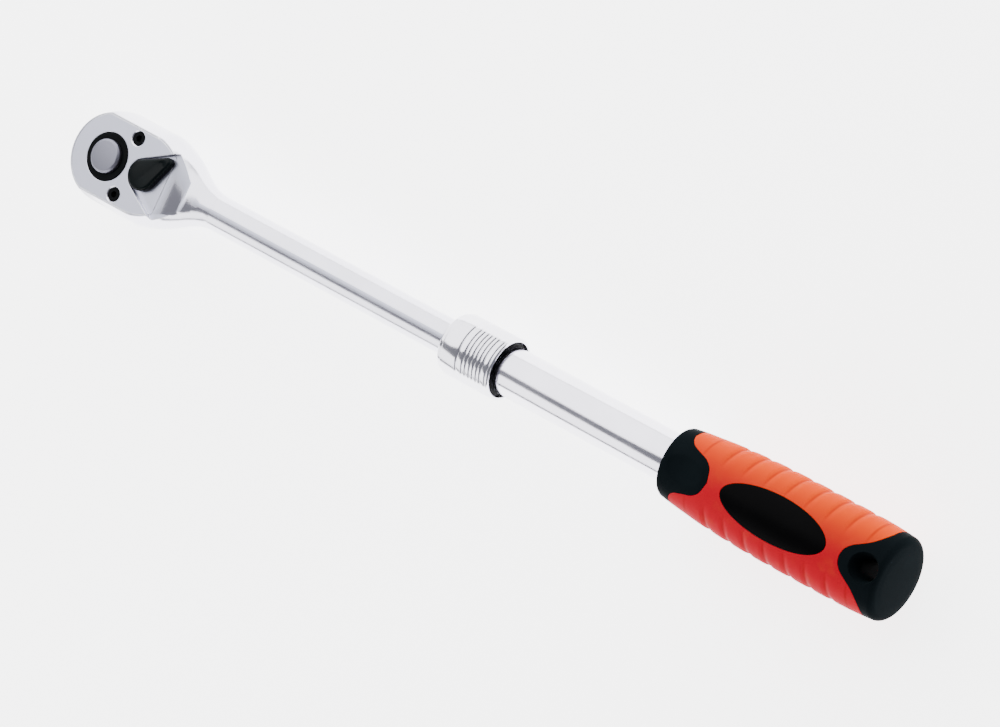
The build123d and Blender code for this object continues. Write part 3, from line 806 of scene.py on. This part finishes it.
@dataclass
class Lock:
    """Sliding collar with its stepped front ring, and the ring behind it."""

    finishes: dict[str, bpy.types.Material]
    front: float = 197.0
    rear: float = 226.5
    radius: float = 14.1
    step: float = 199.4
    nose_radius: float = 13.24
    mouth: float = 12.8
    land: tuple[float, float, float] = (211.3, 213.4, 10.82)
    ramp: tuple[float, float, float] = (203.0, 13.26, 11.27)
    grooves: tuple[float, ...] = (11.5, 14.9, 16.9, 19.1, 21.0, 23.1, 25.0, 27.8)
    groove_half: float = 0.55
    groove_depth: float = 0.5
    chamfer: float = 0.6
    nose_back: float = 201.4
    nose_bores: tuple[float, float] = (8.3, 11.2)
    ring_radii: tuple[float, float] = (10.3, 12.4)

    def collar(self) -> bpy.types.Object:
        """Collar with its fine V-grooves, ball ramp and spring chamber.

        Returns:
            The object.
        """
        worn = self.radius - self.chamfer
        outer: list[Point] = [(self.step, self.nose_radius), (self.step, worn),
                              (self.step + self.chamfer, self.radius)]
        for offset in self.grooves:
            x = self.front + offset
            outer += [(x - self.groove_half, self.radius), (x, self.radius - self.groove_depth),
                      (x + self.groove_half, self.radius)]
        outer += [(self.rear - self.chamfer, self.radius), (self.rear, worn)]
        land_start, land_end, land_radius = self.land
        ramp_start, wide, narrow = self.ramp
        inner: list[Point] = [(self.rear, self.mouth), (land_end, self.mouth), (land_end, land_radius),
                              (land_start, land_radius), (land_start, narrow), (ramp_start, wide)]
        return Workshop.close(Workshop.spun(outer + inner, 160, 0.07), "lock_collar_shell", 28)

    def nose(self) -> bpy.types.Object:
        """Stepped ring in the collar's front.

        Returns:
            The object.
        """
        front, wall, back = self.front, self.step, self.nose_back
        narrow, wide = self.nose_bores
        outer = self.nose_radius - 0.01
        return Workshop.close(Workshop.spun([
            (front, narrow), (front, outer - 0.9), (front + 0.9, outer), (back, outer),
            (back, wide), (wall, wide), (wall, narrow)], 160, 0.15), "collar_front_ring", 28)

    def ring(self) -> bpy.types.Object:
        """Black ring in the collar's rear mouth.

        Returns:
            The object.
        """
        low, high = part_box("retaining_ring")
        front, rear = low.x / MM, high.x / MM
        inner, outer = self.ring_radii
        return Workshop.close(Workshop.spun(
            [(front, inner), (front, outer), (rear, outer), (rear, inner)], 128, 0.2),
            "black_stop_ring", 28)

    def build(self) -> None:
        """Make the collar, its front ring and the black ring."""
        chrome = self.finishes["turned_chrome"]
        fit(self.collar(), "collar", "satin_chrome", chrome, "lock_collar")
        fit(self.nose(), "collar", "satin_chrome", chrome, "collar_nose")
        fit(self.ring(), "handle", "black_oxide", self.finishes["black_oxide"], "retaining_ring")


@dataclass
class Tube:
    """Plated tube between the collar and the grip."""

    finishes: dict[str, bpy.types.Material]
    radius: float = 10.75
    bore: float = 9.3
    start: float = 222.0
    end: float = 416.0
    groove: tuple[float, float, float] = (223.6, 225.0, 10.3)

    def build(self) -> None:
        """Make the tube with the groove for its ring."""
        first, last, floor = self.groove
        profile = [(self.start, self.bore), (self.start, self.radius), (first, self.radius),
                   (first, floor), (last, floor), (last, self.radius), (self.end, self.radius),
                   (self.end, self.bore)]
        tube = Workshop.close(Workshop.spun(profile, 160, 0.1), "plated_tube", 28)
        fit(tube, "handle", "satin_chrome", self.finishes["tube_chrome"], "outer_tube")


@dataclass
class Grip:
    """Two-tone moulded grip: coloured shell, black nose, two oval pads and the end cap."""

    finishes: dict[str, bpy.types.Material]
    front: float = 320.0
    skin: float = 3.0
    length: float = 117.5
    profile: tuple[Point, ...] = (
        (1.2, 14.45), (7, 15.2), (15, 16.0), (24, 16.85), (35, 17.5), (49, 18.0), (65, 18.2),
        (90, 18.2), (104, 17.95), (113.5, 17.35))
    nose_seam: tuple[Point, ...] = (
        (7.2, 14.0), (8.7, 12.1), (11.2, 10.6), (15.5, 9.4), (20.5, 8.0), (24.2, 5.2), (26.2, 0))
    cap_seam: tuple[Point, ...] = (
        (110.5, 16.6), (108.9, 13.6), (106.2, 10.5), (103.0, 8.2), (99.6, 5.9), (97.4, 3.2), (96.6, 0))
    pad: tuple[float, float, float] = (61.5, 55.5, 19.6)
    fullness: float = 1.09
    creases: int = 7
    crease_first: float = 28.0
    crease_pitch: float = 10.85
    crease_depth: float = 0.72
    crease_half: float = 1.5
    dish: tuple[float, float, float, float] = (13.0, 9.8, 5.6, 1.1)
    hang: tuple[float, float, float] = (109.0, 4.6, 7.0)
    hang_mouth: tuple[float, float, float] = (19.0, 10.0, 2.2)
    end_round: tuple[float, float] = (3.4, 3.2)
    end_dome: float = 0.6
    bore: float = 10.8
    cap_start: float = 96.0
    plug: tuple[float, float, float] = (88.0, 9.25, 12.9)
    seam_gap: float = 0.07
    ahead: float = -5.0
    beyond: float = 130.0
    tall: float = 30.0
    grid: float = 0.55
    line: list[Point] = field(default_factory=list)

    def __post_init__(self) -> None:
        """Work out the smooth outline once."""
        self.line = flowing(self.profile, 10)

    def radius_at(self, x: float) -> float:
        """Outer radius at a distance from the grip's front.

        Args:
            x: the distance.
        Returns:
            The radius.
        """
        for (x0, r0), (x1, r1) in zip(self.line, self.line[1:]):
            if x0 <= x <= x1:
                return r0 + (r1 - r0) * (x - x0) / max(1e-9, x1 - x0)
        return self.line[0][1] if x < self.line[0][0] else self.line[-1][1]

    def barrel(self, start: float, end: float, inner: float) -> bmesh.types.BMesh:
        """Ring of the grip between two stations.

        Args:
            start: first station from the front.
            end: last station.
            inner: radius of its bore, or how far under the skin if negative.
        Returns:
            The mesh in metres.
        """
        count = max(2, round((end - start) / self.grid))
        stations = [start + (end - start) * i / count for i in range(count + 1)]
        outer = [(self.front + x, self.radius_at(x)) for x in stations]
        if inner < 0:
            under = [(self.front + x, self.radius_at(x) + inner) for x in stations[::-4]]
        else:
            under = [(self.front + end, inner), (self.front + start, inner)]
        return self.fuller(Workshop.spun(outer + under, 160))

    def fuller(self, bm: bmesh.types.BMesh) -> bmesh.types.BMesh:
        """Widen the flanks only, past the CAD grip, which is narrower than the real one.

        Args:
            bm: the mesh, in metres.
        Returns:
            The same mesh.
        """
        centre = SHANK_HEIGHT * MM
        for vert in bm.verts:
            radius = math.hypot(vert.co.y, vert.co.z - centre) / MM
            vert.co.y *= 1 + (self.fullness - 1) * smooth_step(11.5, 13.5, radius)
        return bm

    def relief(self, bm: bmesh.types.BMesh, depth: Callable[[float, float, float], float]) -> None:
        """Press a relief into the outer surface.

        Args:
            bm: the mesh, in metres.
            depth: depth in millimetres at (distance from the front, y, z about the axis).
        """
        centre = SHANK_HEIGHT * MM
        for vert in bm.verts:
            y, z = vert.co.y, vert.co.z - centre
            radius = math.hypot(y, z)
            x = vert.co.x / MM - self.front
            if radius / MM < self.radius_at(x) - 1.0:
                continue
            scale = 1 - depth(x, y / MM, z / MM) * MM / radius
            vert.co.y, vert.co.z = y * scale, centre + z * scale

    def crease(self, x: float, y: float, z: float) -> float:
        """Depth of the finger creases, which fade out towards the pads.

        Args:
            x: distance from the grip's front.
            y: place across the grip.
            z: height above its axis.
        Returns:
            The depth.
        """
        sides = smooth_step(0.42, 0.86, abs(y) / math.hypot(y, z))
        total = 0.0
        for number in range(self.creases):
            away = (x - self.crease_first - number * self.crease_pitch) / self.crease_half
            lean = 0.75 if away > 0 else 1.25
            total += math.exp(-(away * lean) ** 2)
        return self.crease_depth * sides * total

    def hollow(self, x: float, y: float, z: float) -> float:
        """Depth of the oval thumb dish on both faces of the nose.

        Args:
            x: distance from the grip's front.
            y: place across the grip.
            z: height above its axis.
        Returns:
            The depth.
        """
        centre, length, width, depth = self.dish
        away = ((x - centre) / length) ** 2 + (y / width) ** 2
        return depth * max(0.0, 1 - away) ** 0.8 if abs(z) > 8 else 0.0

    def seam_outline(self, seam: Sequence[Point], far: float, shift: float) -> list[Point]:
        """Plan outline bounded by a tongue-shaped seam.

        Args:
            seam: points down one side, to the tongue's tip.
            far: station beyond the grip's end where the outline closes.
            shift: how far the seam is moved towards the far side.
        Returns:
            The corners.
        """
        half = flowing(seam, 8)
        bow = half + [(x, -y) for x, y in reversed(half[:-1])]
        sign = 1 if far > seam[0][0] else -1
        x0 = self.front + sign * shift
        side, wide = x0 + seam[0][0], self.tall
        line = [(x0 + x, y) for x, y in bow]
        return [(side, wide), *line, (side, -wide), (self.front + far, -wide), (self.front + far, wide)]

    def seam_cutter(self, seam: Sequence[Point], far: float, shift: float, name: str
                    ) -> bpy.types.Object:
        """Column over a seam's outline, as an object."""
        outline = self.seam_outline(seam, far, shift)
        return Workshop.close(Workshop.column(outline, -self.tall, self.tall), name)

    def pad_cutter(self, shrink: float, low: float, high: float, name: str) -> bpy.types.Object:
        """Oval column through the grip.

        Args:
            shrink: how far the oval is drawn in all round.
            low: bottom height about the axis.
            high: top height.
            name: the cutter's name.
        Returns:
            The cutter.
        """
        centre, length, width = self.pad
        ring = [FULL_TURN * i / 128 for i in range(128)]
        oval = [(self.front + centre + (length / 2 - shrink) * math.cos(a),
                 (width / 2 - shrink) * math.sin(a)) for a in ring]
        return Workshop.close(Workshop.column(oval, low, high), name)

    def shell(self) -> bpy.types.Object:
        """Coloured shell with its finger creases and the openings for the black parts.

        Returns:
            The object.
        """
        bm = self.barrel(7.0, 111.0, -self.skin)
        self.relief(bm, self.crease)
        shell = Workshop.close(bm, "grip_skin")
        Workshop.cut(shell, [
            (Cut.AWAY, self.seam_cutter(self.nose_seam, self.ahead, -self.seam_gap, "nose_cut")),
            (Cut.AWAY, self.seam_cutter(self.cap_seam, self.beyond, -self.seam_gap, "cap_cut")),
            (Cut.AWAY, self.pad_cutter(-self.seam_gap, -self.tall, self.tall, "pad_cut"))])
        Workshop.sharpen(shell)
        return shell

    def nose(self) -> bpy.types.Object:
        """Black front section with its two tongues and thumb dishes.

        Returns:
            The object.
        """
        start, radius = self.profile[0]
        bm = self.barrel(start, 27.0, self.bore)
        self.relief(bm, self.hollow)
        nose = Workshop.close(bm, "grip_front_section")
        lip = self.fuller(Workshop.spun(
            [(self.front, self.bore), (self.front, radius - 1.15), (self.front + 0.35, radius - 0.45),
             (self.front + start, radius), (self.front + start, self.bore)], 160))
        Workshop.cut(nose, [
            (Cut.KEEP, self.seam_cutter(self.nose_seam, self.ahead, self.seam_gap, "nose_keep")),
            (Cut.JOIN, Workshop.close(lip, "nose_lip"))])
        Workshop.sharpen(nose)
        return nose

    def palm_pad(self, side: int) -> bpy.types.Object:
        """Smooth oval pad.

        Args:
            side: 1 above and -1 below.
        Returns:
            The object.
        """
        name = "oval_pad_top" if side > 0 else "oval_pad_bottom"
        pad = Workshop.close(self.barrel(33.0, 90.0, -self.skin), name)
        low, high = sorted((5.0 * side, self.tall * side))
        Workshop.cut(pad, [(Cut.KEEP, self.pad_cutter(self.seam_gap, low, high, "oval"))])
        Workshop.sharpen(pad)
        return pad

    def cap(self) -> bpy.types.Object:
        """Black end cap with its tongues, rounded end and scooped hang hole.

        Returns:
            The object.
        """
        x, r = self.profile[-1]
        start, (along, inward) = self.cap_start, self.end_round
        arc = [(x + along * math.sin(a), r - inward + inward * math.cos(a))
               for a in (math.pi / 2 * i / 14 for i in range(15))]
        arc += [(self.length - self.end_dome * (b / r) ** 2, b) for b in (13.0, 11.0, 8.5, 6.0, 3.0)]
        count = round((x - start) / self.grid)
        stations = [start + (x - start) * i / count for i in range(count)]
        outer = [(px, self.radius_at(px)) for px in stations] + arc + [(self.length, 0.0), (start, 0.0)]
        bm = self.fuller(Workshop.spun([(self.front + a, b) for a, b in outer], 160))
        cap = Workshop.close(bm, "rear_cap")
        centre, bore, mouth = self.hang
        top, floor, curve = self.hang_mouth
        spool: list[Point] = [(-26.0, 0.0), (-26.0, mouth + 5.0)]
        for i in range(13):
            t = i / 12
            spool.append((-(top - (top - floor) * t), bore + (mouth + 1.0 - bore) * (1 - t) ** curve))
        spool += [(-a, b) for a, b in reversed(spool)]
        tool = Workshop.spun(spool, 96, upright=True)
        bmesh.ops.translate(tool, verts=tool.verts,
                            vec=((self.front + centre) * MM, 0, SHANK_HEIGHT * MM))
        foot, narrow, wide = self.plug
        plug = Workshop.spun([
            (self.front + a, b) for a, b in ((foot, 0), (foot, narrow), (start, narrow),
                                             (start, wide), (112, wide), (112, 0))], 96)
        Workshop.cut(cap, [
            (Cut.KEEP, self.seam_cutter(self.cap_seam, self.beyond, self.seam_gap, "cap_keep")),
            (Cut.JOIN, Workshop.close(plug, "cap_plug")),
            (Cut.AWAY, Workshop.close(tool, "hang_tool"))])
        Workshop.sharpen(cap, 40)
        return cap

    def build(self) -> None:
        """Make the five visible parts of the grip."""
        rubber = self.finishes["black_rubber"]
        pad = self.finishes["black_pad"]
        fit(self.shell(), "handle", "orange_grip", self.finishes["orange_grip"], "grip_shell")
        fit(self.nose(), "handle", "black_rubber", rubber, "grip_nose")
        fit(self.palm_pad(1), "handle", "black_pad", pad, "palm_pad_top")
        fit(self.palm_pad(-1), "handle", "black_pad", pad, "palm_pad_bottom")
        fit(self.cap(), "handle", "black_rubber", rubber, "end_cap")


@dataclass
class InnerParts:
    """CAD pieces that keep their own mesh and get a worked finish."""

    finishes: dict[str, bpy.types.Material]
    coats: dict[str, str] = field(default_factory=lambda: {
        "pawl": "satin_steel", "lock_body": "satin_steel", "retaining_ball": "bearing_steel",
        "lever_plunger": "bearing_steel", "guide_pin": "bearing_steel",
        "lock_ball_1": "bearing_steel", "lock_ball_2": "bearing_steel",
        "lock_ball_3": "bearing_steel", "release_spring": "spring_steel",
        "collar_spring": "spring_steel", "lever_spring": "spring_steel",
        "lever_clip": "spring_steel", "stop_screw": "black_oxide", "shank_stop": "nylon",
        "grip_core": "core_plastic", "guide_o_ring": "black_rubber"})

    def build(self) -> None:
        """Dress the kept CAD nodes."""
        for node, coat in self.coats.items():
            dress(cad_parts[node], self.finishes[coat])
            LOG.info("%s: CAD mesh dressed in %s", node, coat)


@dataclass
class Studio:
    """Pale floor, soft lights and the camera."""

    finishes: dict[str, bpy.types.Material]
    azimuth: float = 101.08
    elevation: float = 57.54
    roll: float = -74.65
    distance: float = 2.814
    lens: float = 241.0
    aim: tuple[float, float, float] = (0.2211, 0.0007, 0.0115)
    floor_gap: float = 0.0002
    air_colour: tuple[float, float, float, float] = (0.90, 0.91, 1.0, 1.0)
    air_strength: float = 0.28

    def floor(self) -> None:
        """Large pale table top just under the object."""
        bm = bmesh.new()
        bmesh.ops.create_grid(bm, x_segments=8, y_segments=8, size=6.0)
        low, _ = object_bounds()
        bmesh.ops.translate(bm, verts=bm.verts, vec=(0, 0, low[2] - self.floor_gap))
        table = Workshop.close(bm, "table_top")
        dress(table, self.finishes["pale_floor"])
        table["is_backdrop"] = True

    def lamp(self, name: str, spot: Sequence[float], size: Sequence[float], power: float) -> None:
        """White soft box that faces the middle of the object.

        Args:
            name: the lamp's name.
            spot: its place in metres.
            size: its two sides in metres.
            power: its power in watts.
        """
        light = bpy.data.lights.new(name, "AREA")
        light.shape, light.energy = "RECTANGLE", power
        light.size, light.size_y = size
        holder = bpy.data.objects.new(name, light)
        bpy.context.scene.collection.objects.link(holder)
        away = Vector(spot) - Vector(self.aim)
        holder.matrix_world = Matrix.Translation(spot) @ away.to_track_quat("Z", "Y").to_matrix().to_4x4()

    def lights(self) -> None:
        """Even pale surroundings and two soft boxes."""
        world = bpy.data.worlds.new("studio_air")
        bpy.context.scene.world = world
        world.use_nodes = True
        air = world.node_tree.nodes["Background"]
        air.inputs["Color"].default_value = self.air_colour
        air.inputs["Strength"].default_value = self.air_strength
        self.lamp("soft_box_over", (-0.45, 1.05, 1.15), (3.2, 2.9), 104)
        self.lamp("soft_box_side", (-0.45, -1.38, 0.72), (3.2, 1.0), 34)

    def camera(self) -> None:
        """Long lens from above the handle, rolled so that the tool runs down to the right."""
        eye = bpy.data.cameras.new("studio_camera")
        eye.lens, eye.sensor_width = self.lens, 36.0
        eye.clip_end = 50.0
        holder = bpy.data.objects.new("studio_camera", eye)
        bpy.context.scene.collection.objects.link(holder)
        a, e = math.radians(self.azimuth), math.radians(self.elevation)
        back = Vector((math.sin(a) * math.cos(e), -math.cos(a) * math.cos(e), math.sin(e)))
        level = Vector((0, 0, 1)).cross(back).normalized()
        upper = back.cross(level)
        turn = Matrix((level, upper, back)).transposed().to_4x4()
        roll = Matrix.Rotation(math.radians(self.roll), 4, "Z")
        holder.matrix_world = Matrix.Translation(Vector(self.aim) + back * self.distance) @ turn @ roll
        bpy.context.scene.camera = holder

    def build(self) -> None:
        """Set up the studio."""
        self.floor()
        self.lights()
        self.camera()


def main() -> None:
    """Build every sub-assembly in order."""
    logging.basicConfig(level=logging.INFO, format="%(name)s %(message)s")
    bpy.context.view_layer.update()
    finishes = build_finishes()
    for assembly in (Head(finishes), Drive(finishes), Lever(finishes), Lock(finishes),
                     Tube(finishes), Grip(finishes), InnerParts(finishes), Studio(finishes)):
        assembly.build()
        LOG.info("%s done", type(assembly).__name__)


if __name__ == "__main__":
    main()
